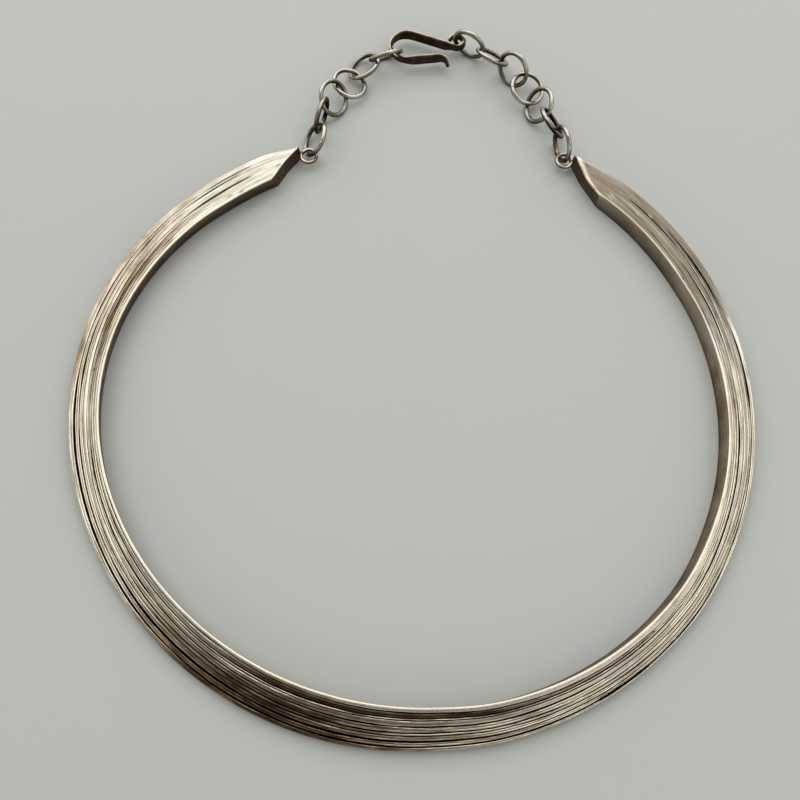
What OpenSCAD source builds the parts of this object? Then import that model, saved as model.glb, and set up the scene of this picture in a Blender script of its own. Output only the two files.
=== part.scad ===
// Wire choker: a rigid collar of square silver wires soldered side by side, filed smooth at both
// ends, and closed at the back of the neck by two short runs of round links and a flat-forged hook.
// It lies on its flat underside. Front of the neck is -Y, the clasp is +Y, and +Z is up.

/* [Collar] */
// Mean radius of the collar's top inner edge
hoop_r = 62; // [61.5:0.1:62.5]
// Height of the smooth inner wall
wall_h = 4.5; // [3.5:0.1:6]
// Mean width of the band, from inner to outer edge
band_w = 6.45; // [6.2:0.05:6.7]
// Height of the outermost wire at the front
outer_h = 1.9; // [1.2:0.1:3]
// Deepest cut of the gaps between the wires
gap_depth = 1.3; // [0.4:0.1:1.5]
// Where the left end stops along its inner edge, in degrees from the front
left_end = 148; // [147:0.5:149]
// Where the right end stops along its inner edge, in degrees from the front
right_end = 141; // [140:0.5:142]
// How much further the left end's outer point reaches, in degrees
left_mitre = 8; // [7:0.5:9]
// How much further the right end's outer point reaches, in degrees
right_mitre = 6.5; // [5.5:0.5:7.5]
// How much narrower the left end's point is than the rest of the band
left_taper = 1.2; // [0:0.1:1.6]

/* [Chain] */
// Outer diameter of the links
link_od = 8.6; // [8.4:0.1:8.8]
// Thickness of the links' wire
link_wire = 1; // [0.8:0.05:1.05]
// Outer diameter of the small loops soldered to the collar's points
loop_od = 4.3; // [4.1:0.1:4.5]
// Thickness of the loops' wire
loop_wire = 0.8; // [0.6:0.1:0.8]

/* [Hook] */
// Thickness of the hook's strip
strip_t = 0.8; // [0.6:0.1:0.9]
// Width of the hook's strip, which stands upright
strip_w = 1.6; // [1.2:0.1:1.6]
// Radius of the hook's round end, to the middle of the strip
bend_r = 4; // [3.8:0.1:4.2]
// Radius of the hook's eye, to the middle of the strip
eye_r = 1.8; // [1.7:0.05:1.9]
// Radius of the turned-down lip, to the middle of the strip
lip_r = 1.7; // [1.2:0.1:2.2]

/* [Hidden] */

// How the hand-bent hoop strays from a circle: times it goes in and out round the hoop, by how
// many mm, and the direction of one of its outward bulges. Directions are degrees from the
// front, positive towards +X.
HOOP_RIPPLES = [
    // [times, mm, bulge at]
    [2, 1.60, 90],
    [3, 0.75, 30],
    [4, 0.32, -22]
];
// The same for the band's width, which is greatest at the front left.
WIDTH_RIPPLES = [
    // [times, mm, widest at]
    [1, 0.95, -46],
    [2, 0.24, -45],
    [3, 0.43, -16]
];
// The gaps between the wires, from the inner edge outwards: where each lies across the band at
// the left side, the front and the right side, as a share of its width, its width in mm, its
// depth as a share of gap_depth, and the directions in degrees between which it is open.
GAPS = [
    // [left, front, right, mm wide, depth, from, to]
    [0.11, 0.12, 0.15, 0.16, 0.45, -138, 128],
    [0.24, 0.28, 0.29, 0.16, 0.35, -120,  96],
    [0.35, 0.44, 0.42, 0.22, 0.70, -141, 132],
    [0.54, 0.59, 0.56, 0.20, 0.55, -132, 118],
    [0.66, 0.68, 0.67, 0.16, 0.40, -126, 100],
    [0.76, 0.79, 0.77, 0.20, 0.70, -136, 122],
    [0.88, 0.90, 0.89, 0.30, 1.00, -128, 134]
];
LEFT = 0; FRONT = 1; RIGHT = 2; WIDE = 3; DEEP = 4; FROM = 5; TO = 6;

// How the links lie, each run from the collar to the hook: the middle's place, the direction in
// which the link leans over, its tilt from flat, and how far its neighbours hold it off the
// surface.
LEFT_RUN = [
    // [x, y, heading, tilt, lift]
    [-23.0, 62.4, 180, 50, 0],
    [-21.6, 68.4, 162, 85, 0],
    [-19.0, 74.0, 330, 53, 0],
    [-15.4, 79.1, 357, 18, 0.9],
    [-12.0, 84.5, 157, 29, 0],
    [-6.75, 86.7, 109, 54, 0]
];
RIGHT_RUN = [
    // [x, y, heading, tilt, lift]
    [33.9, 60.4, 196, 85, 0],
    [32.0, 66.4,  20, 52, 0.65],
    [29.4, 72.0, 194, 51, 0],
    [27.0, 77.1, 324, 19, 1.4],
    [23.7, 81.9, 228, 74, 0],
    [18.9, 86.2,  50, 39, 0.8],
    [13.4, 89.4,  61, 84, 0]
];
HEADING = 2; TILT = 3; LIFT = 4;

// The end loops: [x, y] of each one's middle, and their height above the surface
left_loop = [-24.4, 58.6];
right_loop = [34.6, 57.3];
loop_z = 2.2;
solder_d = 1.3;

// The hook: the middle of its round end, the height of the strip's lower edge, how steeply the
// two arms run, their lengths, how far the eye curls round, how far the lip turns and its end
bend_at = [-1.6, 90];
strip_z = 2;
upper_slope = 21.5;
upper_l = 10.74;
lower_slope = 6;
lower_l = 7.3;
eye_turn = 280;
lip_turn = 81;
lip_l = 1.6;
arc_step = 7;

rim_chamfer = 0.15;
stations = 100;

function ripple(rows, a) =
    [for (row = rows) row[1] * cos(row[0] * (a - row[2]))] * [for (row = rows) 1];

function ramp(a, from, to) = let (t = min(1, max(0, (a - from) / (to - from)))) t * t * (3 - 2 * t);

function inner_r(a) = hoop_r + ripple(HOOP_RIPPLES, a);
function width(a) = band_w + ripple(WIDTH_RIPPLES, a);

// The inner wall leans in towards the neck on the right, and out on the left.
function lean(a) = 0.3 - 0.8 * sin(a);

// The outermost wire rises from its low front to the wall's height, so the ends are flat on top.
function outer_top(a) = outer_h + (wall_h - outer_h) * ramp(abs(a), 50, 138);

function top(a, u) = wall_h - (wall_h - outer_top(a)) * u;

// Where a gap lies across the band, on a smooth curve through its three stated places
function across(gap, a) = let (s = sin(a / 1.7))
    gap[FRONT] + s * (gap[RIGHT] - gap[LEFT]) / 2
    + s * s * ((gap[RIGHT] + gap[LEFT]) / 2 - gap[FRONT]);

// Each gap closes over 25 degrees at both its ends.
function depth(gap, a) =
    gap_depth * gap[DEEP] * ramp(a, gap[FROM], gap[FROM] + 25) * (1 - ramp(a, gap[TO] - 25, gap[TO]));

// One section of the band as [share of the width, height], clockwise seen along the hoop
function section(a) = let (w = width(a), rim = rim_chamfer / w) concat(
    [[lean(a) / w, 0], [0, wall_h - rim_chamfer], [rim, wall_h]],
    [for (gap = GAPS) let (u = across(gap, a), half = gap[WIDE] / 2 / w) each [
        [u - half, top(a, u - half)],
        [u, top(a, u) - depth(gap, a)],
        [u + half, top(a, u + half)]
    ]],
    [[1 - rim, top(a, 1)], [1, top(a, 1) - rim_chamfer], [1, 0]]
);

// The ends are cut slantwise: near them a section swings so that its outer edge leads.
function swing(a, u) =
    a + u * (right_mitre * ramp(a, right_end - 20, right_end)
             - left_mitre * ramp(-a, left_end - 20, left_end));

function place(a, p) = let (
    b = swing(a, p[0]),
    w = width(a) - left_taper * ramp(-b, left_end, left_end + left_mitre),
    r = inner_r(b) + p[0] * w
) [r * sin(b), -r * cos(b), p[1]];

ANGLES = [for (i = [0 : stations]) -left_end + (left_end + right_end) * i / stations];

// The middle of the whole choker's outline, which goes to the origin
edge = [for (a = ANGLES) place(a, [1, 0])];
edge_x = [for (p = edge) p[0]];
edge_y = [for (p = edge) p[1]];
middle = [
    (min(edge_x) + max(edge_x)) / 2,
    (min(edge_y) + bend_at[1] + bend_r + strip_t / 2) / 2
];

module centred() {
    color("silver") translate(-middle) children();
}

module wires() {
    rings = [for (a = ANGLES) [for (p = section(a)) place(a, p)]];
    n = len(rings[0]);
    quads = [for (i = [0 : stations - 1], j = [0 : n - 1]) let (k = (j + 1) % n)
        each [[i * n + j, i * n + k, (i + 1) * n + k], [i * n + j, (i + 1) * n + k, (i + 1) * n + j]]];
    first = [for (j = [1 : n - 2]) [0, j + 1, j]];
    last = [for (j = [1 : n - 2]) [stations * n, stations * n + j, stations * n + j + 1]];
    polyhedron([for (ring = rings) each ring], concat(quads, first, last));
}

module ring(od, wire) {
    rotate_extrude($fn = 48) translate([(od - wire) / 2, 0]) circle(d = wire, $fn = 24);
}

// A loop and the bead of solder between it and the point of the collar
module end_loop(at, point) {
    translate([at[0], at[1], loop_z]) ring(loop_od, loop_wire);
    translate([(at[0] + 7 * point[0]) / 8, (at[1] + 7 * point[1]) / 8, loop_z])
        sphere(d = solder_d, $fn = 24);
}

module band() {
    centred() {
        wires();
        end_loop(left_loop, place(-left_end, [1, 0]));
        end_loop(right_loop, place(right_end, [1, 0]));
    }
}

module link(row) {
    rise = (link_od - link_wire) / 2 * sin(row[TILT]) + link_wire / 2 + row[LIFT];
    centred() translate([row[0], row[1], rise]) rotate([0, row[TILT], row[HEADING]])
        ring(link_od, link_wire);
}

// Points on an arc, every few degrees
function arc(at, r, from, to) = let (n = ceil(abs(to - from) / arc_step))
    [for (i = [0 : n]) let (a = from + (to - from) * i / n) at + r * [cos(a), sin(a)]];

function turned(p, a) = [p[0] * cos(a) - p[1] * sin(a), p[0] * sin(a) + p[1] * cos(a)];

// One side of the strip, off its middle line by h, from the lip's tip round the bend to the eye's
// free end. The round end's middle is at the origin. The lip and the eye curl the other way.
function strip_side(h) = let (
    lip = turned([lower_l, -bend_r - lip_r], lower_slope),
    eye = turned([upper_l, bend_r + eye_r], -upper_slope),
    lip_from = 90 + lower_slope - lip_turn,
    eye_from = -90 - upper_slope
) concat(
    [turned([lip_r - h, -lip_l], lip_from) + lip],
    arc(lip, lip_r - h, lip_from, 90 + lower_slope),
    arc([0, 0], bend_r + h, 270 + lower_slope, 90 - upper_slope),
    arc(eye, eye_r - h, eye_from, eye_from + eye_turn)
);

module hook() {
    outer = strip_side(strip_t / 2);
    inner = strip_side(-strip_t / 2);
    centred() translate([bend_at[0], bend_at[1], strip_z]) linear_extrude(height = strip_w)
        polygon(concat(outer, [for (i = [len(inner) - 1 : -1 : 0]) inner[i]]));
}

band();
link(LEFT_RUN[0]);  // left_link_1
link(LEFT_RUN[1]);  // left_link_2
link(LEFT_RUN[2]);  // left_link_3
link(LEFT_RUN[3]);  // left_link_4
link(LEFT_RUN[4]);  // left_link_5
link(LEFT_RUN[5]);  // left_link_6
hook();
link(RIGHT_RUN[6]);  // right_link_7
link(RIGHT_RUN[5]);  // right_link_6
link(RIGHT_RUN[4]);  // right_link_5
link(RIGHT_RUN[3]);  // right_link_4
link(RIGHT_RUN[2]);  // right_link_3
link(RIGHT_RUN[1]);  // right_link_2
link(RIGHT_RUN[0]);  // right_link_1
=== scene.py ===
"""Wire choker: the looks of a rigid silver collar of soldered wires, its links and its hook.

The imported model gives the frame. Each CAD node is stood for by a finer piece whose surface is
worked out here with numpy, in millimetres of the collar's own layout, and put into the row
frame, in metres, at the end.
"""
from __future__ import annotations

import logging
from dataclasses import dataclass, field
from enum import Enum, IntEnum

import bpy
import numpy as np
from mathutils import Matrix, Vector


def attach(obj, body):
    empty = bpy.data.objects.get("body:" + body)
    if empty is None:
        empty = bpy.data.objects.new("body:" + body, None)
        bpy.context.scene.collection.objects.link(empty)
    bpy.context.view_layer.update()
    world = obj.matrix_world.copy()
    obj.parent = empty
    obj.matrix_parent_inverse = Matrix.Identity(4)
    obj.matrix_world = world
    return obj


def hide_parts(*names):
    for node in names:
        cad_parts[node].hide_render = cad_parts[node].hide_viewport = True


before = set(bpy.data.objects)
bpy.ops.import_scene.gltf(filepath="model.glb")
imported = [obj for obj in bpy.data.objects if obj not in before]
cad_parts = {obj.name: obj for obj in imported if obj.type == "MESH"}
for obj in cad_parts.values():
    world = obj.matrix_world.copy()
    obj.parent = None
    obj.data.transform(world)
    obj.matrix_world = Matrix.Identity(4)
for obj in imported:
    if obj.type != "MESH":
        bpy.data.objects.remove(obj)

LOG = logging.getLogger("choker")
Array, Piece, Socket = np.ndarray, bpy.types.Object, bpy.types.NodeSocket
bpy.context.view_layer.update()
MM = 0.001
# The middle of the choker's outline in the collar's layout, which is the origin of the row frame
MIDDLE = np.array([-1.138, 13.291, 0.0])
UPRIGHT = np.array([0.0, 0.0, 1.0])
FULL_TURN = 2 * np.pi
BODY = "root"


class Slot(Enum):
    """The material slots' names."""

    COLLAR = "collar_silver"
    LINK = "link_silver"
    HOOK = "hook_silver"


class Strand(IntEnum):
    """Numbers that set patterns apart. The collar's wires are counted from its inner edge."""

    INNER_WALL = -3
    RIM = 0
    SUNK = 1
    BRIGHT_THREAD = 2
    PALE_FACE = 6
    OUTERMOST = 12
    OUTER_WALL = 20
    UNDERSIDE = 21
    HOOK = 40
    FIRST_LINK = 50


def linear(code: str) -> tuple[float, float, float, float]:
    """Turn an sRGB hex colour into Blender's linear RGBA.

    Args:
        code: Six hex digits, such as "B8A68C".

    Returns:
        Red, green, blue and an alpha of one.
    """
    parts = [int(code[i:i + 2], 16) / 255 for i in (0, 2, 4)]
    red, green, blue = [c / 12.92 if c <= 0.04045 else ((c + 0.055) / 1.055) ** 2.4 for c in parts]
    return red, green, blue, 1.0


def ramp(a: Array, start: float, stop: float) -> Array:
    """Rise smoothly from 0 at start to 1 at stop: t * t * (3 - 2 t), with t the share of the way."""
    t = np.clip((a - start) / (stop - start), 0.0, 1.0)
    return t * t * (3 - 2 * t)


def turns(count: int) -> Array:
    """Equal steps round a full turn, in radians."""
    return np.linspace(0, FULL_TURN, count, endpoint=False)


@dataclass(frozen=True)
class Fade:
    """How strongly something shows.

    Attributes:
        rise: The range over which it rises from 0 to 1. Without one it starts at 1.
        fall: The range over which it falls to 0. Without one it stays.
    """

    rise: tuple[float, float] | None = None
    fall: tuple[float, float] | None = None

    def at(self, a: Array) -> Array:
        """Its strength at each value: what has risen, times what hasn't fallen."""
        risen = ramp(a, *self.rise) if self.rise else np.ones_like(a)
        return risen * (1 - ramp(a, *self.fall)) if self.fall else risen


@dataclass(frozen=True)
class Bump:
    """A smooth bump of height 1 about a middle: exp(-((a - middle) / reach)^2)."""

    middle: float
    reach: float

    def at(self, a: Array) -> Array:
        """Its height at each value."""
        return np.exp(-((a - self.middle) / self.reach) ** 2)


@dataclass(frozen=True)
class Stray:
    """A smooth hand-made unevenness along a piece: a sum of sines with set phases.

    Each sine is 1.6 times finer and 1.35 times weaker than the one before.

    Attributes:
        size: How far it strays, about.
        wave: Its longest wavelength, in mm.
        seed: Chooses the phases.
        terms: How many sines are added.
    """

    size: float
    wave: float
    seed: int
    terms: int = 7

    def along(self, length: Array, which: int = 0) -> Array:
        """How far it strays at distances in mm along a piece, whose number changes the phases."""
        rng = np.random.default_rng(self.seed + which)
        waves = [np.sin(FULL_TURN * (length / self.wave * 1.6 ** k + rng.random())) / 1.35 ** k
                 for k in range(self.terms)]
        return self.size / 2.2 * sum(waves)


# Meshes


def add_object(name: str, data: bpy.types.ID) -> Piece:
    """Put a new object with the given data into the scene."""
    new = bpy.data.objects.new(name, data)
    bpy.context.scene.collection.objects.link(new)
    return new


def grid_corners(rows: int, cols: int, wrap: bool) -> Array:
    """Corners of the quads of a grid, as row and column of each.

    Args:
        rows: Points along the piece.
        cols: Points round its section.
        wrap: Whether the last row joins the first, as on a ring.

    Returns:
        An array of quads by 4 by 2. A column or row equal to the count is the first one again.
    """
    i, j = np.meshgrid(np.arange(rows if wrap else rows - 1), np.arange(cols), indexing="ij")
    i, j = i.ravel(), j.ravel()
    return np.stack([np.stack([i, j], 1), np.stack([i + 1, j], 1),
                     np.stack([i + 1, j + 1], 1), np.stack([i, j + 1], 1)], 1)


def surface(name: str, grid: Array, uv: Array, layers: dict[str, Array],
            ring: bool = False, sharp: float = 180.0) -> Piece:
    """Put a closed swept surface into a mesh.

    Point (i, j) is the j-th point of the i-th section, a closed curve. Quads join the sections,
    and a fan to its mean closes the section at each end of an open sweep.

    Args:
        name: The piece's name.
        grid: Points in mm of the collar's layout, rows by columns by 3.
        uv: Texture places in metres, (rows + 1 if ring) by (columns + 1) by 2.
        layers: Values by name, rows by columns each.
        ring: Whether the sweep closes on itself.
        sharp: Angle in degrees past which an edge is shaded sharp.

    Returns:
        The new object, at the origin, with its place in its mesh.
    """
    rows, cols = grid.shape[:2]
    corners = grid_corners(rows, cols, ring)
    index = (corners[..., 0] % rows) * cols + corners[..., 1] % cols
    uvs = uv[corners[..., 0], corners[..., 1]].reshape(-1, 2)
    points = grid.reshape(-1, 3)
    faces, sizes = index.ravel(), np.full(len(index), 4)
    values = {key: layer.ravel() for key, layer in layers.items()}
    if not ring:
        j = np.arange(cols)
        k = (j + 1) % cols
        first, last = rows * cols, rows * cols + 1
        bottom = (rows - 1) * cols
        points = np.vstack([points, grid[0].mean(0), grid[-1].mean(0)])
        start = np.stack([j, k, np.full(cols, first)], 1)
        stop = np.stack([bottom + k, bottom + j, np.full(cols, last)], 1)
        faces = np.concatenate([faces, start.ravel(), stop.ravel()])
        sizes = np.concatenate([sizes, np.full(2 * cols, 3)])
        start_uv = np.stack([uv[0, j], uv[0, j + 1], uv[0, j]], 1).reshape(-1, 2)
        stop_uv = np.stack([uv[-1, j + 1], uv[-1, j], uv[-1, j]], 1).reshape(-1, 2)
        uvs = np.vstack([uvs, start_uv, stop_uv])
        values = {key: np.append(flat, [layers[key][0].mean(), layers[key][-1].mean()])
                  for key, flat in values.items()}
    mesh = bpy.data.meshes.new(name)
    mesh.vertices.add(len(points))
    mesh.vertices.foreach_set("co", ((points - MIDDLE) * MM).astype(np.float32).ravel())
    mesh.loops.add(len(faces))
    mesh.loops.foreach_set("vertex_index", faces.astype(np.int32))
    mesh.polygons.add(len(sizes))
    mesh.polygons.foreach_set("loop_start", (np.cumsum(sizes) - sizes).astype(np.int32))
    mesh.uv_layers.new(name="UVMap").data.foreach_set("uv", uvs.astype(np.float32).ravel())
    for key, flat in values.items():
        mesh.attributes.new(key, "FLOAT", "POINT").data.foreach_set("value", flat.astype(np.float32))
    mesh.update(calc_edges=True)
    mesh.validate()
    mesh.shade_smooth()
    mesh.set_sharp_from_angle(angle=np.radians(sharp))
    return add_object(name, mesh)


def grid_uv(along: Array, around: Array) -> Array:
    """Texture places in metres, from the distances in mm along and round a piece."""
    return np.stack(np.meshgrid(along, around, indexing="ij"), -1) * MM


# Materials


# Numbers of a colour Mix node's sockets: its other kinds of mix have sockets of the same names
MIX_SHARE, MIX_FIRST, MIX_SECOND, MIX_RESULT = 0, 6, 7, 2


def node(tree: bpy.types.NodeTree, kind: str, inputs: dict | None = None, **settings) -> bpy.types.Node:
    """Add one shader node with its settings and links.

    Args:
        tree: The material's node tree.
        kind: The node's type, such as "ShaderNodeMix".
        inputs: By socket name or number, a value or the socket to link from.
        settings: The node's own properties.

    Returns:
        The node.
    """
    new = tree.nodes.new(kind)
    for key, value in settings.items():
        setattr(new, key, value)
    for key, value in (inputs or {}).items():
        if isinstance(value, Socket):
            tree.links.new(value, new.inputs[key])
        else:
            new.inputs[key].default_value = value
    return new


@dataclass(frozen=True)
class TarnishedSilver:
    """Sterling silver, drawn to wire, filed and soldered, and dulled by age.

    Drawing and filing leave streaks along the wire, handling and painted highlights leave the raised
    faces bright, and sulphide darkens what fingers and cloth don't reach, from beige through brown to
    near black. The tarnish value also carries painted shade.
    Where a face has been filed flat it is more even and has lost its yellow film.

    Attributes:
        name: The material's name.
        bright: Colour of freshly rubbed silver, sRGB hex.
        warm: Colour of the first, beige tarnish.
        tan: Colour between beige and brown.
        brown: Colour of thick tarnish.
        black: Colour at the bottom of the gaps.
        roughness: Roughness of the rubbed faces.
        worn: How much of the unevenness has been rubbed away, from 0 to 1.
        streak_mm: Length and width of the drawn streaks.
        nick_mm: Length along the wire and width across it of the small cross nicks.
        blotch_mm: Size of the tarnish blotches.
        grain_mm: Size of the fine grain, drawn coarser than it is so that it shows.
        straw: Yellowish cast of some patches.
        mauve: Pinkish cast of others.
        white: Cooler cast of the filed faces.
    """

    name: str
    bright: str
    warm: str
    tan: str
    brown: str
    black: str
    roughness: float
    worn: float
    streak_mm: tuple[float, float] = (7.0, 0.14)
    nick_mm: tuple[float, float] = (0.35, 1.4)
    blotch_mm: float = 5.0
    grain_mm: float = 0.22
    straw: str = "FFFAEC"
    mauve: str = "FAF1EE"
    white: str = "EDF6FA"

    def build(self) -> bpy.types.Material:
        """Make the material.

        Colour, roughness and bump come from streaks along the wire, cross nicks, blotches and
        grain, and from the piece's own tarnish, strand and filed values; the tarnish value also holds
        painted shade and painted highlights. Texture places are in metres, so a pattern of size d has a
        scale of 1 / d.

        Returns:
            The material.
        """
        material = bpy.data.materials.new(self.name)
        material.use_nodes = True
        tree = material.node_tree
        tree.nodes.clear()
        uv = node(tree, "ShaderNodeUVMap", uv_map="UVMap").outputs["UV"]
        place = node(tree, "ShaderNodeTexCoord").outputs["Object"]
        tarnish, strand, filed = [node(tree, "ShaderNodeAttribute", attribute_name=name).outputs["Fac"]
                                  for name in ("tarnish", "strand", "filed")]

        def pattern(source: Socket, size: tuple[float, float, float], detail: float,
                    name: str) -> Socket:
            """Noise of a stated size in mm, from a coordinate socket."""
            scaled = node(tree, "ShaderNodeMapping",
                          {"Vector": source, "Scale": tuple(1 / (s * MM) for s in size)})
            return node(tree, "ShaderNodeTexNoise",
                        {"Vector": scaled.outputs[0], "W": strand, "Scale": 1.0, "Detail": detail,
                         "Roughness": 0.55}, noise_dimensions="4D", label=name).outputs["Fac"]

        def shaped(value: Socket, low: float, high: float, to_low: float = 0.0,
                   to_high: float = 1.0) -> Socket:
            """A value's range from low to high, mapped to a new range and clamped."""
            return node(tree, "ShaderNodeMapRange",
                        {"Value": value, "From Min": low, "From Max": high, "To Min": to_low,
                         "To Max": to_high}).outputs["Result"]

        def calc(kind: str, first: Socket | float,
                 second: Socket | float) -> Socket:
            """One step of arithmetic, kept between 0 and 1."""
            return node(tree, "ShaderNodeMath", {0: first, 1: second}, operation=kind,
                        use_clamp=True).outputs[0]

        def mix(share: Socket | float, first: Socket | tuple,
                second: Socket | tuple, blend: str = "MIX") -> Socket:
            """Two colours blended, by the share of the second."""
            return node(tree, "ShaderNodeMix", {MIX_SHARE: share, MIX_FIRST: first, MIX_SECOND: second},
                        data_type="RGBA", blend_type=blend).outputs[MIX_RESULT]

        length, width = self.streak_mm
        streaks = pattern(uv, (length, width, 1.0), 3.0, "drawn streaks")
        long_streaks = pattern(uv, (length * 4, width * 2.4, 1.0), 2.0, "long streaks")
        nicks = shaped(pattern(uv, (*self.nick_mm, 1.0), 2.0, "cross nicks"), 0.66, 0.74)
        blotches = pattern(place, (self.blotch_mm,) * 3, 4.0, "tarnish blotches")
        grain = pattern(place, (self.grain_mm,) * 3, 3.0, "grain")
        cast = pattern(place, (self.blotch_mm * 2.5,) * 3, 2.0, "mauve and straw casts")

        # The most tarnish that each unevenness adds, and how much of it filing takes away
        streak_dark, long_dark, blotch_dark, nick_dark, evened = 0.24, 0.2, 0.36, 0.16, 0.75
        # How much tarnish gives each colour
        warm_at, tan_at, brown_at, black_at = 0.28, 0.45, 0.62, 0.95
        drawn = calc("ADD", shaped(streaks, 0.42, 0.75, 0.0, streak_dark),
                     shaped(long_streaks, 0.45, 0.7, 0.0, long_dark))
        uneven = calc("ADD", shaped(blotches, 0.38, 0.72, 0.0, blotch_dark), drawn)
        uneven = calc("MULTIPLY", uneven, calc("SUBTRACT", 1.0, calc("MULTIPLY", filed, evened)))
        dark = calc("ADD", calc("MULTIPLY", uneven, 1.0 - self.worn), tarnish)
        dark = calc("ADD", dark, calc("MULTIPLY", nicks, nick_dark))
        tones = node(tree, "ShaderNodeValToRGB", {"Fac": dark})
        stops = tones.color_ramp.elements
        stops[0].color, stops[1].color = linear(self.bright), linear(self.black)
        stops[1].position = black_at
        for at, code in ((warm_at, self.warm), (tan_at, self.tan), (brown_at, self.brown)):
            stops.new(at).color = linear(code)
        tint = mix(shaped(cast, 0.4, 0.62), linear(self.straw), linear(self.mauve))
        tint = mix(filed, tint, linear(self.white))
        colour = mix(1.0, tones.outputs["Color"], tint, "MULTIPLY")

        rough = calc("ADD", shaped(dark, 0.0, 0.9, self.roughness, self.roughness + 0.25),
                     shaped(grain, 0.35, 0.7, -0.04, 0.06))
        height = calc("ADD", calc("MULTIPLY", streaks, 0.6), calc("MULTIPLY", grain, 0.25))
        height = calc("SUBTRACT", height, calc("MULTIPLY", nicks, 0.3))
        bump = node(tree, "ShaderNodeBump", {"Strength": 0.4, "Distance": 0.06 * MM, "Height": height})
        shader = node(tree, "ShaderNodeBsdfPrincipled",
                      {"Base Color": colour, "Metallic": 1.0, "Roughness": rough,
                       "Normal": bump.outputs["Normal"]})
        node(tree, "ShaderNodeOutputMaterial", {"Surface": shader.outputs["BSDF"]})
        return material


COLLAR_FINISH = TarnishedSilver("collar_silver_filed", "F8F5EA", "B3A594", "897662", "5A4838",
                                "080503", 0.28, 0.45)
LINK_FINISH = TarnishedSilver("link_silver_satin", "DDDAD0", "8F877A", "625A4D", "362E24", "080604",
                              0.22, 0.72, streak_mm=(3.0, 0.2), blotch_mm=3.0, straw="FFFDF5",
                              mauve="FCF8F5")
HOOK_FINISH = TarnishedSilver("hook_silver_forged", "F4F1E2", "8A8170", "5F5546", "3E3429", "0C0703",
                              0.34, 0.55, streak_mm=(4.0, 0.25), blotch_mm=3.5)


# Rings and beads


RING_PATCHES = Stray(0.2, 13, 500, 4)


def torus(name: str, at: Array, axis: Array, ring_r: Array, wire_r: Array,
          tarnish: float, strand: float) -> Piece:
    """A bent wire ring whose two radii may change along it.

    With a and b two directions across the axis, s the turn along the ring and t the turn round
    the wire: point = at + (ring_r(s) + wire_r(s) cos t) (a cos s + b sin s) + wire_r(s) sin t axis.
    It is worn flat where it would reach below the surface that it rests on. It is darkest on its
    inner side, where nothing rubs it, with tarnish and painted shade; it has painted shade along its
    lower side and a painted highlight on top.

    Args:
        name: The piece's name.
        at: The ring's middle.
        axis: The ring's unit axis.
        ring_r: Radius to the wire's middle at each step along the ring.
        wire_r: The wire's radius at each step.
        tarnish: How dark the ring is, from 0 to 1; it scales its tarnish and its painted shade and
            highlight alike.
        strand: A number that sets this ring's patterns apart from the others'.

    Returns:
        The ring.
    """
    rows, cols = len(ring_r), 28
    all_over, inside, painted_under_shade, painted_top_highlight, polish = 0.6, 0.5, 0.8, 0.6, 0.1
    s, t = turns(rows)[:, None], turns(cols)[None, :]
    side = np.cross(axis, UPRIGHT if abs(axis[2]) < 0.99 else [1.0, 0.0, 0.0])
    side /= np.linalg.norm(side)
    other = np.cross(axis, side)
    out = np.cos(s)[..., None] * side + np.sin(s)[..., None] * other
    normal = np.cos(t)[..., None] * out + np.sin(t)[..., None] * axis
    grid = at + ring_r[:, None, None] * out + wire_r[:, None, None] * normal
    grid[..., 2] = np.maximum(grid[..., 2], 0.0)
    uv = grid_uv(np.linspace(0, FULL_TURN * ring_r.mean(), rows + 1),
                 np.linspace(0, FULL_TURN * wire_r.mean(), cols + 1))
    up = normal[..., 2]
    # Inner side: tarnish and painted shade; lower side: painted shade; top: painted highlight
    share = all_over + inside * ramp(-np.cos(t), -0.2, 0.9) + painted_under_shade * ramp(-up, -0.35, 0.5)
    share = share - painted_top_highlight * ramp(up, 0.4, 0.95)
    dark = tarnish * (share + RING_PATCHES.along(s * ring_r.mean(), round(abs(strand)))) - polish
    return surface(name, grid, uv, {"tarnish": dark, "strand": np.full((rows, cols), strand)}, ring=True)


def bead(name: str, at: Array, radius: float, seed: int) -> Piece:
    """A lump of solder: a sphere that swells a little here and there.

    With p the height angle and t the turn: distance = radius (0.95 + 0.07 cos p sin(3 t + seed)).
    Its top is painted brighter than its underside: painted light and shade.

    Args:
        name: The piece's name.
        at: Its middle.
        radius: Its radius in mm.
        seed: Chooses where it swells.

    Returns:
        The bead.
    """
    rows, cols, lobes = 22, 32, 3
    size, swell = 0.95, 0.07
    dark, painted_light = 0.45, 0.35
    p = np.radians(np.linspace(-86, 86, rows))[:, None]
    t = turns(cols)[None, :]
    reach = radius * (size + swell * np.cos(p) * np.sin(lobes * t + seed))
    grid = at + np.stack([reach * np.cos(p) * np.cos(t), -reach * np.cos(p) * np.sin(t),
                          reach * np.sin(p) + 0 * t], -1)
    uv = grid_uv(radius * p[:, 0], np.linspace(0, FULL_TURN * radius, cols + 1))
    # Painted light and shade: lighter towards the top, darker towards the bottom
    tarnish = dark - painted_light * np.sin(p) + 0 * t
    return surface(name, grid, uv, {"tarnish": tarnish, "strand": 0 * tarnish + seed})


# Collar


# Directions, in degrees from the front, at which each seam's place across the band is stated
STATED_AT = (-130, -85, -45, 0, 45, 90, 125)
# Where the wires' tops are as they were laid: past it they are filed to one flat face
AS_LAID = Fade((-142, -126), (118, 134))
# Where the seams haven't been filed shut
NOT_SHUT = Fade((-139, -110), (72, 108))
SUNK_RUN = Fade((-75, -30), (39.5, 43))
LEFT_FILING, RIGHT_FILING = Fade(fall=(-138, -122)), Fade((86, 112))

SEAM_PLACE = Stray(0.03, 46, 10)
SEAM_OPENING = Stray(0.25, 40, 30)
WIRE_HEIGHT = Stray(0.05, 70, 100)
WIRE_TONE = Stray(0.11, 33, 200)
WIRE_TILT = Stray(0.05, 36, 300)
WIRE_SHINE = Stray(0.5, 28, 400)
LOOP_BEND = Stray(0.02, 11, 5)
LOOP_WIRE = Stray(0.04, 5.5, 6)


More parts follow.
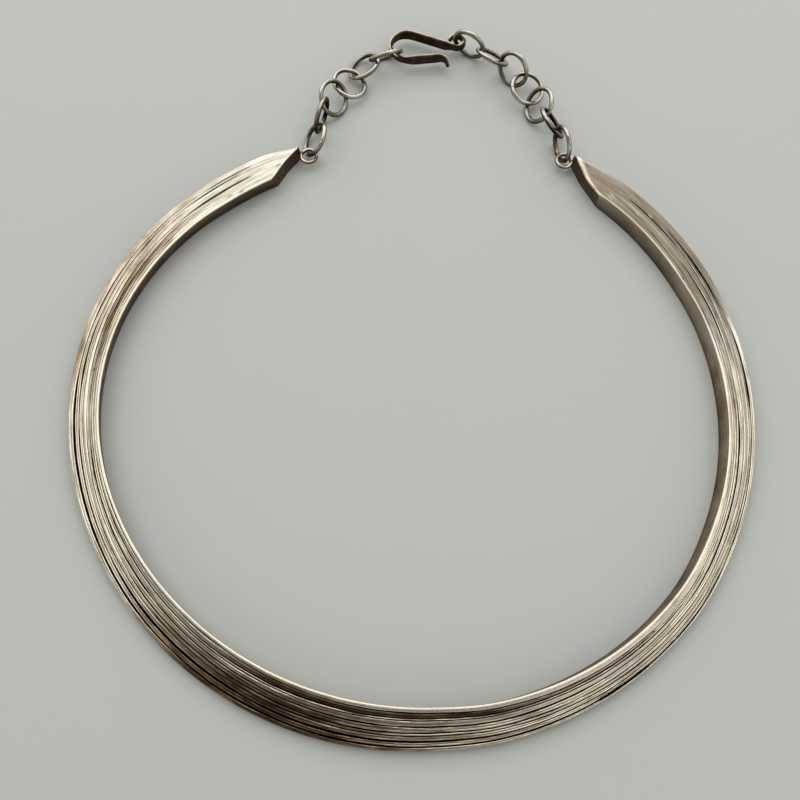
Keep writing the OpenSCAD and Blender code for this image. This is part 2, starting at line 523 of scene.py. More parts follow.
@dataclass(frozen=True)
class Seam:
    """The line where two neighbouring wires meet.

    Attributes:
        shares: Its place across the band at each of STATED_AT, as a share of the width.
        wide: How far apart the wires stand where it is fully open, in mm.
        deep: How deep the crease between them is there, in mm.
        runs: Where it opens: from, to, in degrees, and how far it does so.
        always: How open it is elsewhere.
    """

    shares: tuple[float, ...]
    wide: float
    deep: float
    runs: tuple[tuple[float, float, float], ...]
    always: float = 0.25

    def place(self, a: Array) -> Array:
        """Its share of the width at each direction: a smooth rise or fall from mark to mark."""
        share = np.full_like(a, self.shares[0])
        for k in range(1, len(STATED_AT)):
            share += (self.shares[k] - self.shares[k - 1]) * ramp(a, STATED_AT[k - 1], STATED_AT[k])
        return share

    def open(self, a: Array) -> Array:
        """How open it is at each direction: its runs, each with six degrees of rise and fall."""
        total = self.always * NOT_SHUT.at(a)
        for start, stop, how in self.runs:
            run = Fade((start - 2, start + 4), (stop - 4, stop + 2))
            total = np.maximum(total, how * run.at(a))
        return total


SEAMS = (
    Seam((0.10, 0.09, 0.10, 0.13, 0.21, 0.11, 0.10), 0.13, 0.8,
         ((-124, -100, 0.2), (-72, 43, 1.0), (43, 60, 0.25), (94, 107, 0.5))),
    Seam((0.20, 0.17, 0.23, 0.26, 0.29, 0.20, 0.19), 0.11, 0.6,
         ((-126, -106, 0.4), (-78, 42, 1.0), (42, 74, 0.3), (112, 127, 0.3))),
    Seam((0.27, 0.24, 0.28, 0.305, 0.35, 0.29, 0.29), 0.11, 0.6,
         ((-118, -100, 0.4), (-46, 50, 1.0), (50, 92, 0.4), (128, 131, 0.5))),
    Seam((0.33, 0.29, 0.38, 0.45, 0.47, 0.385, 0.38), 0.17, 1.0,
         ((-127, -104, 0.6), (-80, -50, 1.2), (-50, -4, 0.8), (-4, 30, 1.1), (50, 88, 1.1),
          (76, 86, 1.8), (99, 116, 0.8))),
    Seam((0.38, 0.335, 0.445, 0.525, 0.545, 0.47, 0.48), 0.05, 0.2, ((-110, 70, 0.7),)),
    Seam((0.45, 0.39, 0.51, 0.59, 0.62, 0.56, 0.60), 0.14, 0.9,
         ((-140, -129, 3.0), (-114, -94, 0.6), (-56, 24, 1.0), (24, 58, 0.35), (103, 120, 0.4),
          (120, 130, 1.5))),
    Seam((0.57, 0.51, 0.60, 0.655, 0.72, 0.69, 0.67), 0.12, 0.8,
         ((-108, -99, 0.8), (-88, -80, 0.5), (-68, 15, 0.9), (15, 42, 1.1), (42, 60, 0.4))),
    Seam((0.635, 0.57, 0.665, 0.715, 0.765, 0.72, 0.70), 0.05, 0.2, ((-105, 80, 0.7),)),
    Seam((0.70, 0.63, 0.74, 0.78, 0.82, 0.76, 0.735), 0.22, 1.1,
         ((-138, -131, 0.8), (-104, -90, 1.3), (-84, -64, 0.7), (-60, -28, 1.4), (-28, 15, 1.1),
          (15, 40, 0.3), (108, 122, 1.3))),
    Seam((0.75, 0.71, 0.81, 0.84, 0.87, 0.79, 0.765), 0.05, 0.2, ((-100, 70, 0.7),)),
    Seam((0.80, 0.785, 0.88, 0.90, 0.925, 0.83, 0.80), 0.25, 1.4,
         ((-140, -135, 0.6), (-115, -103, 0.8), (-94, -74, 1.4), (-80, -62, 1.7), (-66, -42, 0.9),
          (-42, 60, 0.7), (27, 40, 1.4), (60, 80, 0.5), (86, 101, 1.4))),
    Seam((0.92, 0.91, 0.945, 0.955, 0.965, 0.93, 0.91), 0.04, 0.15, ((-90, 80, 0.5),)),
)


@dataclass(frozen=True)
class Shade:
    """A stretch of the collar's top that is painted darker than the rest, or lighter: tarnish in
    some, painted shade, reflections and highlights in others.

    Attributes:
        tone: Darkness that it adds, or takes off where it is negative.
        along: How it comes and goes along the band, over directions in degrees.
        across: How it comes and goes across the band, over shares of the width.
    """

    tone: float
    along: Fade | Bump = Fade()
    across: Fade | Bump = Fade()

    def at(self, a: Array, u: Array) -> Array:
        """Its tarnish at each direction and share of the width."""
        return self.tone * self.along.at(a) * self.across.at(u)


SHADES = (
    Shade(0.04),
    # The dark front left, painted shade and painted dark reflection: its outer wires most, and its inner
    # ones a little
    Shade(0.42, Bump(-26, 22), Fade((0.3, 0.5))),
    Shade(0.16, Bump(-20, 34), Fade((0.12, 0.24))),
    # The brown stretch before the left end, and the outer wires beside it
    Shade(0.28, Bump(-107, 17), Bump(0.3, 0.14)),
    Shade(0.07, Fade((-134, -124), (-84, -74)), Fade((0.8, 0.88))),
    # The dull filed right end, and a browner patch before it
    Shade(0.3, Fade((90, 112)), Fade((0.02, 0.09))),
    Shade(0.1, Bump(88, 9), Bump(0.28, 0.13)),
    # Painted light, brighter: the left end, both sides and the front right
    Shade(-0.05, Fade(fall=(-134, -118))),
    Shade(-0.05, Bump(-75, 20)),
    Shade(-0.09, Bump(-68, 20), Fade((0.4, 0.52))),
    Shade(-0.09, Bump(72, 20), Fade((0.4, 0.52))),
    Shade(-0.13, Bump(62, 30), Fade((0.1, 0.2))),
    Shade(-0.1, Bump(22, 30), Bump(0.35, 0.12)),
    # Painted highlights: the right end's bright outer edge, and the bright line along its middle
    Shade(-0.17, Fade((84, 92), (106, 116)), Fade((0.84, 0.92))),
    Shade(-0.17, Fade((131, 137)), Fade((0.84, 0.92))),
    Shade(-0.14, Fade((114, 120), (130, 135)), Bump(0.42, 0.03)),
)
WIRE_SHADES = {
    # The rim is bright, a painted highlight, less so at both ends, and its outer half is dark at the
    # front left
    Strand.RIM: (
        Shade(-0.22),
        Shade(0.1, Fade(fall=(-98, -82))),
        Shade(0.099, Fade((20, 50))),
        Shade(0.121, Fade((88, 110)), Fade((0.0, 0.045))),
        Shade(0.42, Fade((-52, -34), (-16, -4)), Fade((0.04, 0.075))),
    ),
    # The sunk wire: painted shade over the front, half as dark over the front right
    Strand.SUNK: (
        Shade(0.42, Fade((-48, -20), (40, 43))),
        Shade(-0.21, Fade((4, 28), (40, 43))),
    ),
    # The thin bright thread: a painted highlight over the front
    Strand.BRIGHT_THREAD: (Shade(-0.3, Fade((-34, -12), (38, 52))),),
    Strand.PALE_FACE: (Shade(-0.3, Fade((-102, -92), (-54, -46))),),
}
# Dents and scratches: direction, share of the width, reach in degrees, reach in shares, tone
BLEMISHES = tuple(Shade(tone, Bump(a, along), Bump(u, across)) for a, u, along, across, tone in (
    (-147.0, 0.43, 0.4, 0.03, 0.4), (-140.3, 0.09, 0.5, 0.03, 0.35), (-137.6, 0.17, 0.5, 0.04, 0.2),
    (-94.0, 0.30, 0.3, 0.06, 0.3), (-54.5, 0.55, 0.3, 0.04, 0.35), (-47.5, 0.57, 0.7, 0.03, 0.35),
    (42.4, 0.26, 0.35, 0.04, 0.6), (43.7, 0.88, 0.3, 0.04, 0.5), (113.9, 0.07, 0.3, 0.03, 0.3),
    (127.3, 0.63, 0.35, 0.04, -0.35), (129.3, 0.35, 0.3, 0.03, -0.2), (135.0, 0.30, 0.4, 0.05, -0.22),
    (136.2, 0.17, 0.35, 0.04, -0.22), (139.0, 0.80, 0.3, 0.03, 0.3),
))
# Up the inner wall and down the outer one: share of the height, and tarnish. On the inner wall this is
# painted shade and painted dark reflection, most at its foot; the outer wall is darker towards the
# bottom.
INNER_WALL_PAINTED_SHADE = ((0.02, 0.6), (0.25, 0.5), (0.5, 0.44), (0.75, 0.4), (0.93, 0.34))
OUTER_WALL_TONES = ((0.8, 0.14), (0.45, 0.2), (0.08, 0.38))
# Over a wire's rounded shoulder: share of its radius in from the edge, and how strong its painted
# highlight is there; where negative, at the crease's edge, it is darker instead
SHOULDER_PAINTED_LIGHT = ((0.0, -1.2), (0.35, 1.0), (1.0, 0.7))


@dataclass(frozen=True)
class SeamLine:
    """One seam at every station, in mm: its middle's place, half of its opening and its depth."""

    mid: Array
    half: Array
    deep: Array


@dataclass
class Collar:
    """The rigid band of soldered square wires, with its two end loops.

    The hoop's inner edge strays from a circle by three ripples, and so does its width. A section
    runs up the inner wall, across the wires, down the outer wall and back along the underside.
    Lengths are in mm and directions in degrees.
    """

    hoop_r: float = 62.0
    wall_h: float = 4.5
    band_w: float = 6.45
    outer_h: float = 1.9
    left_end: float = 148.0
    right_end: float = 141.0
    left_mitre: float = 8.0
    right_mitre: float = 6.5
    mitre_reach: float = 20.0
    left_taper: float = 1.2
    left_corner: tuple[float, float] = (0.6, 0.2)
    right_corner: tuple[float, float] = (2.4, 0.4)
    stray_out: float = 0.36
    stray_in: float = 0.28
    edge_r: float = 0.16
    edge_share: float = 0.42
    left_edge_r: float = 0.22
    right_edge_r: float = 0.45
    foot: float = 0.12
    crown: float = 0.012
    tilt: float = 0.02
    sunk_by: float = 0.4
    thread_sunk_by: float = 0.15
    full_cut: float = 0.25
    full_dark: float = 0.35
    loop_r: float = 1.75
    loop_wire_r: float = 0.4
    loop_z: float = 2.2
    loop_tarnish: float = 0.7
    solder_r: float = 0.65
    left_loop: tuple[float, float] = (-24.4, 58.6)
    right_loop: tuple[float, float] = (34.6, 57.3)
    hoop_ripples: tuple = ((2, 1.60, 90), (3, 0.75, 30), (4, 0.32, -22))
    width_ripples: tuple = ((1, 0.95, -46), (2, 0.24, -45), (3, 0.43, -16))
    stations: int = 750
    pieces: list[Piece] = field(default_factory=list)

    @staticmethod
    def ripple(rows: tuple, a: Array) -> Array:
        """Sum of mm * cos(times * (a - bulge)) over the rows, with a in degrees."""
        return sum(mm * np.cos(np.radians(times * (a - bulge))) for times, mm, bulge in rows)

    def width(self, a: Array) -> Array:
        """The band's width in mm at each direction."""
        return self.band_w + self.ripple(self.width_ripples, a)

    def length(self, a: Array) -> Array:
        """Distance in mm along the hoop at each direction."""
        return np.radians(a) * self.hoop_r

    def outer_top(self, a: Array) -> Array:
        """Height of the outermost wire: low at the front, as high as the wall at the ends."""
        return self.outer_h + (self.wall_h - self.outer_h) * ramp(np.abs(a), 50, 138)

    def slope(self, a: Array, x: Array) -> Array:
        """Height of the plain slope from the inner wall's top to the outer one's, at x."""
        return self.wall_h - (self.wall_h - self.outer_top(a)) * x / self.width(a)

    def place(self, a: Array, x: Array, z: Array) -> Array:
        """Bend section points round the hoop.

        With u the share x / width: b = a + u * mitre near an end, less a rounding of the end's
        inner corner, r = inner radius at b + u * width, and the point is
        (r sin b, -r cos b, z). The hoop strays out a little at the front right, and its inner
        edge strays in at both ends.

        Args:
            a: Directions of the sections in degrees, rows by 1.
            x: Distance from the inner edge in mm, rows by columns.
            z: Height in mm, rows by columns.

        Returns:
            Points in mm, rows by columns by 3.
        """
        def rounding(corner: tuple[float, float]) -> Array:
            """Degrees by which a corner is rounded: most at the edge, none past its share."""
            return corner[0] * np.clip(1 - u / corner[1], 0, 1.1) ** 2

        w = self.width(a)
        u = x / w
        right = self.right_mitre * u - rounding(self.right_corner)
        left = self.left_mitre * u - rounding(self.left_corner)
        b = a + right * ramp(a, self.right_end - self.mitre_reach, self.right_end)
        b = b - left * ramp(-a, self.left_end - self.mitre_reach, self.left_end)
        taper = self.left_taper * ramp(-b, self.left_end, self.left_end + self.left_mitre)
        r = self.hoop_r + self.ripple(self.hoop_ripples, b) + u * (w - taper)
        r += self.stray_out * Fade((2, 14), (50, 66)).at(b)
        r -= self.stray_in * (1 - u) * np.maximum(ramp(-b, 129, 138), ramp(b, 104, 116))
        b = np.radians(b)
        return np.stack([r * np.sin(b), -r * np.cos(b), z + 0 * r], -1)

    def directions(self) -> tuple[Array, Array]:
        """The stations along the band, closer together over its rounded end edges.

        Returns:
            Directions in degrees, and how far the end's rounding lowers the top there, in mm:
            r - sqrt(r^2 - (r - d)^2) at a distance d from the end.
        """
        turn = np.radians(np.linspace(0, 90, 6))
        inwards, down = 1 - np.cos(turn), 1 - np.sin(turn)
        degrees = np.degrees(1 / self.hoop_r)
        left = -self.left_end + self.left_edge_r * inwards * degrees
        right = self.right_end - self.right_edge_r * inwards * degrees
        a = np.concatenate([left[:-1], np.linspace(left[-1], right[-1], self.stations), right[-2::-1]])
        fall = np.concatenate([self.left_edge_r * down[:-1], np.zeros(self.stations),
                               self.right_edge_r * down[-2::-1]])
        return a, fall

    def tone(self, a: Array, u: Array, wire: int) -> Array:
        """How dark a wire's top is: tarnish, with painted shade and painted highlights.

        Args:
            a: Directions in degrees.
            u: Shares of the width.
            wire: Which wire, from the rim outwards.

        Returns:
            Tarnish and painted light and shade at each direction.
        """
        total = WIRE_TONE.along(self.length(a), wire) * (1 - 0.75 * ramp(a, 92, 118))
        for shade in (*SHADES, *BLEMISHES, *WIRE_SHADES.get(wire, ())):
            total += shade.at(a, u)
        return total

    def wire(self, k: int, a: Array, seams: list[SeamLine], lift: Array) -> list[tuple]:
        """The top of one wire, flat between two rounded shoulders.

        At a distance d inside its edge it drops by rho - sqrt(rho^2 - (rho - d)^2), and less where
        its seam closes. It leans a little of its own, as a hand-laid wire does, and its shoulders
        carry painted highlights, now the inner one stronger and now the outer.

        Args:
            k: Which wire, from the rim outwards.
            a: Directions in degrees, one for each station.
            seams: Where every seam lies.
            lift: How far the wire lies above the plain slope.

        Returns:
            Distance from the inner edge, height and tarnish of each of its seven points.
        """
        w, length, laid = self.width(a), self.length(a), AS_LAID.at(a)
        first, last = k == Strand.RIM, k == Strand.OUTERMOST
        x0 = 0 * a if first else seams[k - 1].mid + seams[k - 1].half
        x1 = w if last else seams[k].mid - seams[k].half
        rho = np.minimum(self.edge_r, self.edge_share * (x1 - x0))
        tilt = 0.0 if first else (self.tilt + WIRE_TILT.along(length, k)) * laid
        shine = np.clip(0.5 + WIRE_SHINE.along(length, k), 0, 1)

        def height(x: Array) -> Array:
            """Height of its flat top at x."""
            base = self.wall_h if first else self.slope(a, x)
            return base + lift + tilt * (2 * (x - x0) / (x1 - x0) - 1)

        def shoulder(edge: Array, sign: int, crease: Array | None,
                     painted_light: Array) -> list[tuple]:
            """Points from an edge inwards, beside a crease of some depth or at the band's edge."""
            cut = 1.0 if crease is None else np.clip(crease / self.full_cut, 0, 1)
            shown = 0.8 if crease is None else laid * cut
            points = []
            for part, glow in SHOULDER_PAINTED_LIGHT:
                x = edge + sign * rho * part
                drop = (rho - np.sqrt(np.clip(rho ** 2 - (rho * (1 - part)) ** 2, 0, None))) * cut
                points.append((x, height(x) - drop, self.tone(a, x / w, k) - painted_light * glow * shown))
            return points

        # Painted highlights on both shoulders, which swap in strength along the wire
        inner = shoulder(x0, 1, None if first else seams[k - 1].deep, 0.12 + 0.3 * shine)
        outer = shoulder(x1, -1, None if last else seams[k].deep, 0.3 - 0.22 * shine)
        x = (x0 + x1) / 2
        middle = (x, height(x) + (0.0 if first else self.crown), self.tone(a, x / w, k) + 0.05 * laid)
        return [*inner, middle, *reversed(outer)]

    def section(self, a: Array) -> tuple[Array, ...]:
        """The band's sections.

        The inner wall's foot is set outwards at the left and inwards at the right. The seams are
        uneven, and over the front one wire and its neighbour are sunk.

        Args:
            a: Directions in degrees, one for each station.

        Returns:
            Distance from the inner edge and height in mm, tarnish, and strand number, each
            stations by points.
        """
        w, length, laid, nothing = self.width(a), self.length(a), AS_LAID.at(a), 0 * a
        columns: list[tuple] = []

        def put(x: Array, z: Array, dark: Array | float, strand: int) -> None:
            """Add one point to every section."""
            columns.append((x + nothing, z + nothing, dark + nothing, strand + nothing))

        lean = 0.3 - 0.8 * np.sin(np.radians(a))
        # Painted light: the inner wall is painted lighter over the front right and the right side
        painted_light = 0.16 * ramp(a, 20, 70) * (1 - 0.6 * ramp(a, 108, 120))
        for share, dark in INNER_WALL_PAINTED_SHADE:
            put(lean * (1 - share), self.wall_h * share, dark - painted_light, Strand.INNER_WALL)
        seams = []
        for k, seam in enumerate(SEAMS):
            opened = seam.open(a) * (0.85 + SEAM_OPENING.along(length, k))
            mid = seam.place(a) * w + SEAM_PLACE.along(length, k) * laid
            seams.append(SeamLine(mid, seam.wide / 2 * (0.4 + 1.15 * opened),
                                  seam.deep * np.minimum(opened, 1.15)))
        lifts = [WIRE_HEIGHT.along(length, k) * laid for k in range(len(SEAMS) + 1)]
        lifts[Strand.RIM] = nothing
        lifts[Strand.SUNK] -= self.sunk_by * SUNK_RUN.at(a)
        lifts[Strand.BRIGHT_THREAD] -= self.thread_sunk_by * SUNK_RUN.at(a)
        for k, lift in enumerate(lifts):
            for x, z, dark in self.wire(k, a, seams, lift):
                put(x, z, dark, k)
            if k < len(seams):
                line = seams[k]
                floor = self.slope(a, line.mid) + np.minimum(lift, lifts[k + 1]) - line.deep
                dark = 0.2 + np.clip(line.deep / self.full_dark, 0, 1)
                for side in (-0.5, 0.5):
                    put(line.mid + side * line.half, floor, dark, k)
        for share, dark in OUTER_WALL_TONES:
            put(w, self.outer_top(a) * share, dark, Strand.OUTER_WALL)
        for x, dark in ((w - self.foot, 0.4), (w * 0.5, 0.4), (lean + self.foot, 0.5)):
            put(x, nothing, dark, Strand.UNDERSIDE)
        return tuple(np.stack([column[n] for column in columns], 1) for n in range(4))

    def band(self) -> Piece:
        """Make the soldered wires.

        The end edges are rounded and painted brighter, a painted highlight, and the end faces are
        darker. What is filed loses its yellow film: the tops, apart from their inner edge and the
        creases, and the walls.

        Returns:
            The wires, as one closed surface.
        """
        a, fall = self.directions()
        x, z, dark, strand = self.section(a)
        a, fall = a[:, None], fall[:, None]
        top = (z > 0.35 * self.wall_h) & (strand >= Strand.RIM) & (strand <= Strand.OUTERMOST)
        z = np.where(top, z - fall, z)
        edge = np.maximum(ramp(-a, self.left_end - 0.6, self.left_end - 0.2),
                          ramp(a, self.right_end - 1.5, self.right_end - 0.8))
        # Painted highlight along the rounded end edges
        dark = np.where(top, dark - 0.35 * edge, dark)
        dark[[0, -1]] = 0.5
        filed = np.maximum(0.45 * LEFT_FILING.at(a), 0.9 * RIGHT_FILING.at(a))
        inside = ramp(x / self.width(a), 0.02, 0.08) * (1 - edge) * (1 - ramp(dark, 0.35, 0.6))
        filed = filed * np.where(top, inside, 0.85)
        across = np.hypot(np.diff(x, axis=1), np.diff(z, axis=1)).cumsum(1)
        across = np.concatenate([0 * x[:, :1], across, across[:, -1:] + 1.0], 1)
        along = np.radians(a) * (self.hoop_r + 3) + 0 * across
        return surface("collar_wires", self.place(a, x, z), np.stack([along, across], -1) * MM,
                       {"tarnish": dark, "strand": strand, "filed": filed}, sharp=55)

    def end_loop(self, side: str, at: tuple[float, float], end: float) -> list[Piece]:
        """Make one end's loop, and the solder between it and the band's outer corner.

        Args:
            side: "left" or "right".
            at: The loop's middle.
            end: Direction of that end of the band, in degrees.

        Returns:
            The loop and the solder.
        """
        length = turns(96) * self.loop_r
        ring_r = self.loop_r + LOOP_BEND.along(length)
        wire_r = self.loop_wire_r * (1 + LOOP_WIRE.along(length))
        middle = np.array([*at, self.loop_z])
        a = np.array([[end]])
        corner = self.place(a, self.width(a), 0 * a)[0, 0]
        solder = np.array([*((middle[:2] + 7 * corner[:2]) / 8), self.loop_z])
        return [torus(f"{side}_end_loop", middle, UPRIGHT, ring_r, wire_r, self.loop_tarnish, end),
                bead(f"{side}_solder", solder, self.solder_r, round(abs(end)))]

    def build(self) -> None:
        """Make the band, its loops and the solder that holds them."""
        self.pieces = [self.band(), *self.end_loop("left", self.left_loop, -self.left_end),
                       *self.end_loop("right", self.right_loop, self.right_end)]
        material = COLLAR_FINISH.build()
        for piece in self.pieces:
            piece.data.materials.append(material)
            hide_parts("band")


# Chain


@dataclass(frozen=True)
class LinkPose:
    """How one link lies.

    Attributes:
        node: The CAD node that it stands for.
        x: Place of its middle, in mm.
        y: Place of its middle, in mm.
        heading: Direction in which it leans over, in degrees.
        tilt: Its tilt from flat, in degrees.
        lift: How far its neighbours hold it off the surface, in mm.
        tarnish: How dark it is, from 0 to 1; it scales its tarnish and its painted shade and
            highlight alike.
    """

    node: str
    x: float
    y: float
    heading: float
    tilt: float
    lift: float
    tarnish: float


LINKS = (
    LinkPose("left_link_1", -23.0, 62.4, 180, 50, 0, 0.55),
    LinkPose("left_link_2", -21.6, 68.4, 162, 85, 0, 0.9),
    LinkPose("left_link_3", -19.0, 74.0, 330, 53, 0, 0.55),
    LinkPose("left_link_4", -15.4, 79.1, 357, 18, 0.9, 0.45),
    LinkPose("left_link_5", -12.0, 84.5, 157, 29, 0, 0.5),
    LinkPose("left_link_6", -6.75, 86.7, 109, 54, 0, 0.5),
    LinkPose("right_link_7", 13.4, 89.4, 61, 84, 0, 0.45),
    LinkPose("right_link_6", 18.9, 86.2, 50, 39, 0.8, 0.5),
    LinkPose("right_link_5", 23.7, 81.9, 228, 74, 0, 0.55),
    LinkPose("right_link_4", 27.0, 77.1, 324, 19, 1.4, 0.45),
    LinkPose("right_link_3", 29.4, 72.0, 194, 51, 0, 0.55),
    LinkPose("right_link_2", 32.0, 66.4, 20, 52, 0.65, 0.95),
    LinkPose("right_link_1", 33.9, 60.4, 196, 85, 0, 0.6),
)


@dataclass
class Chain:
    """The two runs of round links, each bent from wire and closed with a butt joint."""

    link_r: float = 3.8
    wire_r: float = 0.5
    swell: float = 0.04
    oval: float = 0.025
    joint_deep: float = 0.16
    joint_reach: float = 0.03
    pieces: list[Piece] = field(default_factory=list)

    def link(self, pose: LinkPose, seed: int) -> Piece:
        """One link, a little oval, with a faint notch where the wire's ends meet.

        Args:
            pose: How it lies.
            seed: Chooses its unevenness.

        Returns:
            The link.
        """
        heading, tilt = np.radians(pose.heading), np.radians(pose.tilt)
        axis = np.array([np.cos(heading) * np.sin(tilt), np.sin(heading) * np.sin(tilt), np.cos(tilt)])
        at = np.array([pose.x, pose.y, self.link_r * np.sin(tilt) + self.wire_r + pose.lift])
        s = turns(176)
        joint = FULL_TURN * np.random.default_rng(seed).random()
        away = (s - joint + np.pi) % FULL_TURN - np.pi
        notch = self.joint_deep * Bump(0.0, self.joint_reach).at(away)
        ring_r = self.link_r + self.oval * np.cos(2 * (s - joint))
        wire_r = (self.wire_r + self.swell) * (0.985 + 0.015 * np.sin(3 * s + seed) - notch)
        return torus(f"{pose.node}_wire", at, axis, ring_r, wire_r, pose.tarnish,
                     float(Strand.FIRST_LINK + seed))

    def build(self) -> None:
        """Make all the links."""
        material = LINK_FINISH.build()
        for seed, pose in enumerate(LINKS):
            piece = self.link(pose, seed)
            piece.data.materials.append(material)
            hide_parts(pose.node)
            self.pieces.append(piece)


# Hook


HOOK_THICKNESS = Stray(0.02, 9, 3)
HOOK_WIDTH = Stray(0.02, 13, 4)
HOOK_TONE = Stray(0.08, 6, 8)


@dataclass
class Hook:
    """The hook: a flat strip standing on edge, bent round the last link and curled to an eye.

    Lengths are in mm and angles in degrees.
    """

    thick: float = 0.86
    wide: float = 1.6
    arm_thicker: float = 0.12
    arm_wider: float = 0.8
    low_z: float = 2.0
    bend_r: float = 4.0
    eye_r: float = 1.8
    lip_r: float = 1.7
    bend_at: tuple[float, float] = (-1.6, 90.0)
    upper_slope: float = 21.5
    upper_l: float = 10.74
    lower_slope: float = 6.0
    lower_l: float = 7.3
    eye_turn: float = 280.0
    lip_turn: float = 81.0
    lip_l: float = 1.6
    tip_r: float = 0.45
    tip_narrow: float = 0.28
    tip_reach: float = 2.2
    section_round: float = 4.4
    squareness: float = 5.0
    pieces: list[Piece] = field(default_factory=list)

    def path(self, rows: int) -> tuple[Array, Array, Array, Array]:
        """The strip's middle line from the lip's tip to the eye's free end.

        The heading is the running sum of turn over length, and the place is the running sum of
        (cos heading, sin heading), shifted so that the round end has its stated middle.

        Args:
            rows: Number of points.

        Returns:
            Places (rows by 2), headings in radians, distances along in mm, and the distances at
            which the lip, its turn, the lower arm, the bend, the upper arm and the eye begin and end.
        """
        steps = 8
        bend_turn = 180 + self.upper_slope + self.lower_slope
        # Length in mm, and turn in degrees, positive to the left
        runs = (
            (self.lip_l, 0.0),
            (np.radians(self.lip_turn) * self.lip_r, self.lip_turn),
            (self.lower_l, 0.0),
            (np.radians(bend_turn) * self.bend_r, -bend_turn),
            (self.upper_l, 0.0),
            (np.radians(self.eye_turn) * self.eye_r, self.eye_turn),
        )
        marks, turns = [np.concatenate([[0.0], np.cumsum([run[k] for run in runs])]) for k in (0, 1)]
        s = np.linspace(0, marks[-1], rows * steps)
        heading = np.radians(np.interp(s, marks, turns) + 180 + self.lower_slope - self.lip_turn)
        step = np.gradient(s)
        x, y = np.cumsum(np.cos(heading) * step), np.cumsum(np.sin(heading) * step)
        bend_start = np.searchsorted(s, marks[3])
        toe = np.radians(270 + self.lower_slope)
        x += self.bend_at[0] + self.bend_r * np.cos(toe) - x[bend_start]
        y += self.bend_at[1] + self.bend_r * np.sin(toe) - y[bend_start]
        keep = slice(None, None, steps)
        return np.stack([x, y], 1)[keep], heading[keep], s[keep], marks

    def build(self) -> None:
        """Make the hook.

        Its section is a superellipse |h / thick|^n + |v / wide|^n = 1 with n = 5, which has the
        softened corners of a forged strip, and it thins and rounds off at both ends. The two
        straight arms are beaten wider and are a little thicker than the bends, where the links
        pass. Its upper corner on the far side is painted brighter, a painted highlight, and its lower
        half a little darker, painted shade.
        """
        rows, cols = 420, 48
        place, heading, s, marks = self.path(rows)
        _, lip_end, lower_start, bend_start, upper_start, eye_start, _ = marks
        t = turns(cols)[None, :]
        h, v = [np.sign(wave) * np.abs(wave) ** (2 / self.squareness) for wave in (np.cos(t), np.sin(t))]
        tip = np.minimum(s, s[-1] - s)[:, None]
        inwards = np.clip(tip / self.tip_r, 0, 1)
        round_off = np.sqrt(np.clip(1 - (1 - inwards) ** 2, 0.0025, 1))
        lower = Fade((lip_end - 0.5, lower_start + 1.0), (bend_start - 1.5, bend_start + 1.5)).at(s)
        upper = Fade((bend_start + 6.0, upper_start), (eye_start - 2.6, eye_start - 0.4)).at(s)
        bend = Fade((bend_start, bend_start + 3), (upper_start - 4, upper_start)).at(s)[:, None]
        beaten = (lower + upper)[:, None]
        half_thick = (self.thick / 2 + self.arm_thicker * beaten) * (
            0.99 - HOOK_THICKNESS.along(s)[:, None])
        half_wide = (self.wide + self.arm_wider * beaten) / 2 * (0.98 - HOOK_WIDTH.along(s)[:, None])
        half_wide = half_wide * (1 - self.tip_narrow + self.tip_narrow * ramp(tip, 0, self.tip_reach))
        middle_z = self.low_z + self.wide / 2 - self.arm_wider / 4 * beaten
        normal = np.stack([np.sin(heading), -np.cos(heading)], 1)[:, None, :]
        flat = place[:, None, :] + (h * half_thick * round_off)[..., None] * normal
        grid = np.concatenate([flat, (v * half_wide * round_off + middle_z)[..., None]], -1)
        uv = grid_uv(s, np.linspace(0, self.section_round, cols + 1))
        far = h * (normal[:, :, 1] - bend)
        # Painted highlight on the upper far corner; painted shade on the lower half
        corner = ramp(v, 0.6, 0.98) * ramp(far, -0.15, 0.35)
        dark = 0.53 - 0.64 * corner + HOOK_TONE.along(s)[:, None] + 0.1 * ramp(-v, 0.2, 1.0)
        piece = surface("hook_strip", grid, uv, {"tarnish": dark, "strand": 0 * dark + Strand.HOOK})
        piece.data.materials.append(HOOK_FINISH.build())
        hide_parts("hook")
        self.pieces = [piece]


# Studio


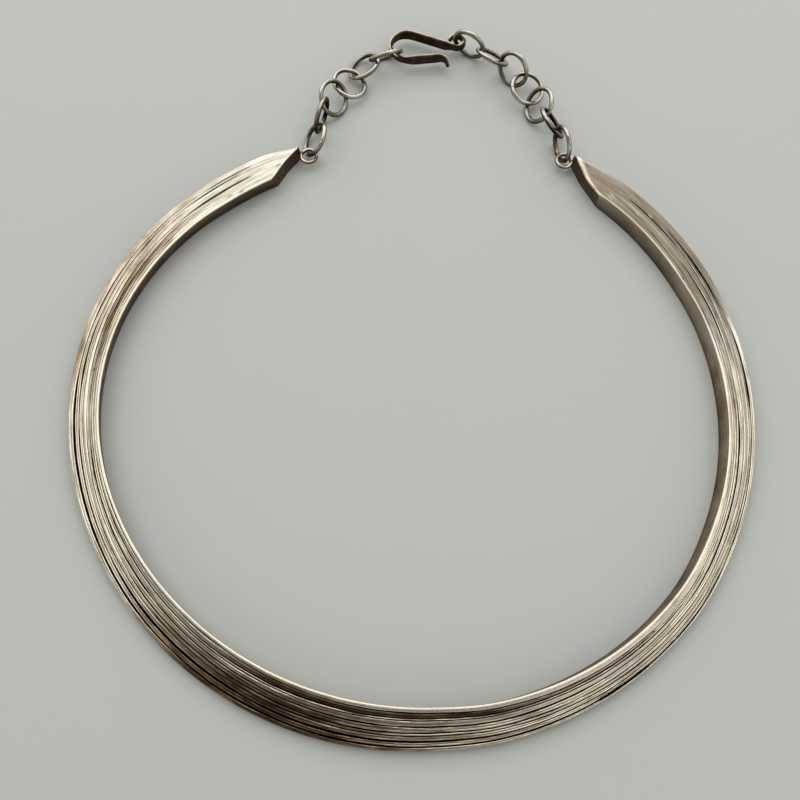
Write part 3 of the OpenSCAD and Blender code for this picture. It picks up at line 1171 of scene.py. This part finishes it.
@dataclass
class Studio:
    """A plain pale floor and backdrop, soft light, and the camera at the photograph's angle.

    The camera's place is in mm of the collar's layout. The sweep's sizes are in metres.
    """

    camera_at: tuple[float, float, float] = (-3.33, -57.70, 156.74)
    look_down: float = 70.0
    sweep_near: float = 0.4
    sweep_far: float = 1.3
    sweep_r: float = 0.3
    sweep_top: float = 0.85
    sweep_glow: float = 0.36
    sweep_colour: str = "DDDFDC"

    def floor(self) -> Piece:
        """A plain pale floor that sweeps up into a backdrop all round, which glows with painted light:
        none on the floor, and full from half way up its curve.

        A flat round, then a quarter circle of radius r turned about the upright axis, then an
        upright wall: at a turn t of the quarter, distance = far - r + r sin t and
        height = r - r cos t.

        Returns:
            The floor.
        """
        turn = np.radians(np.linspace(0, 90, 17))
        curve = self.sweep_far - self.sweep_r * (1 - np.sin(turn))
        out = np.concatenate([[self.sweep_near], curve, [self.sweep_far]])
        up = np.concatenate([[0.0], self.sweep_r * (1 - np.cos(turn)), [self.sweep_top]])
        side = turns(96)[:, None]
        grid = np.stack([out * np.sin(side), out * np.cos(side), up + 0 * side], -1)
        rows, cols = grid.shape[:2]
        corners = grid_corners(rows, cols - 1, True)
        index = (corners[..., 0] % rows) * cols + corners[..., 1]
        inner_round = (np.arange(rows) * cols)[::-1].tolist()
        mesh = bpy.data.meshes.new("floor")
        mesh.from_pydata(grid.reshape(-1, 3).tolist(), [], index.tolist() + [inner_round])
        mesh.shade_smooth()
        material = bpy.data.materials.new("pale_floor")
        material.use_nodes = True
        tree = material.node_tree
        shader = tree.nodes["Principled BSDF"]
        shader.inputs["Base Color"].default_value = linear(self.sweep_colour)
        shader.inputs["Roughness"].default_value = 0.9
        shader.inputs["Emission Color"].default_value = linear(self.sweep_colour)
        place = node(tree, "ShaderNodeTexCoord").outputs["Object"]
        height = node(tree, "ShaderNodeSeparateXYZ", {"Vector": place}).outputs["Z"]
        # The backdrop's painted light: its glow rises with height
        glow = node(tree, "ShaderNodeMapRange",
                    {"Value": height, "From Min": 0.0, "From Max": self.sweep_r / 2,
                     "To Min": 0.0, "To Max": self.sweep_glow})
        tree.links.new(glow.outputs["Result"], shader.inputs["Emission Strength"])
        mesh.materials.append(material)
        return add_object("floor", mesh)

    def light(self, name: str, at: tuple[float, float, float], size: tuple[float, float],
              watts: float, colour: str) -> None:
        """Add a soft rectangular light that faces the choker.

        Args:
            name: The light's name.
            at: Its place in metres.
            size: Its width and height in metres.
            watts: Its power.
            colour: Its colour, sRGB hex.
        """
        data = bpy.data.lights.new(name, "AREA")
        data.shape, data.size, data.size_y = "RECTANGLE", *size
        data.energy, data.color = watts, linear(colour)[:3]
        lamp = add_object(name, data)
        lamp.location = at
        lamp.rotation_euler = (-Vector(at)).to_track_quat("-Z", "Y").to_euler()

    def build(self) -> None:
        """Set the floor, the lights, the surrounding light and the camera."""
        self.floor()
        self.light("far_window", (-0.06, 0.40, 0.62), (1.4, 0.9), 4.5, "FFFDF9")
        self.light("near_right_wall", (0.45, -0.22, 0.62), (0.6, 0.5), 0.6, "FFFBF4")
        world = bpy.data.worlds.new("studio")
        world.use_nodes = True
        surrounding = world.node_tree.nodes["Background"].inputs
        surrounding["Color"].default_value = linear("C9CDD0")
        surrounding["Strength"].default_value = 0.22
        bpy.context.scene.world = world
        bpy.context.scene.view_settings.view_transform = "Standard"
        data = bpy.data.cameras.new("camera")
        data.sensor_width, data.lens = 36.0, 36.0
        data.clip_start = 0.01
        camera = add_object("camera", data)
        camera.location = Vector((np.array(self.camera_at) - MIDDLE) * MM)
        camera.rotation_euler = (np.radians(90 - self.look_down), 0.0, 0.0)
        bpy.context.scene.camera = camera


def main() -> None:
    """Build the choker's pieces in order and report each one."""
    logging.basicConfig(level=logging.INFO, format="%(message)s")
    Studio().build()
    for group in (Collar(), Chain(), Hook()):
        group.build()
        for piece in group.pieces:
            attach(piece, BODY)
            LOG.info("%s: %d faces", piece.name, len(piece.data.polygons))


if __name__ == "__main__":
    main()
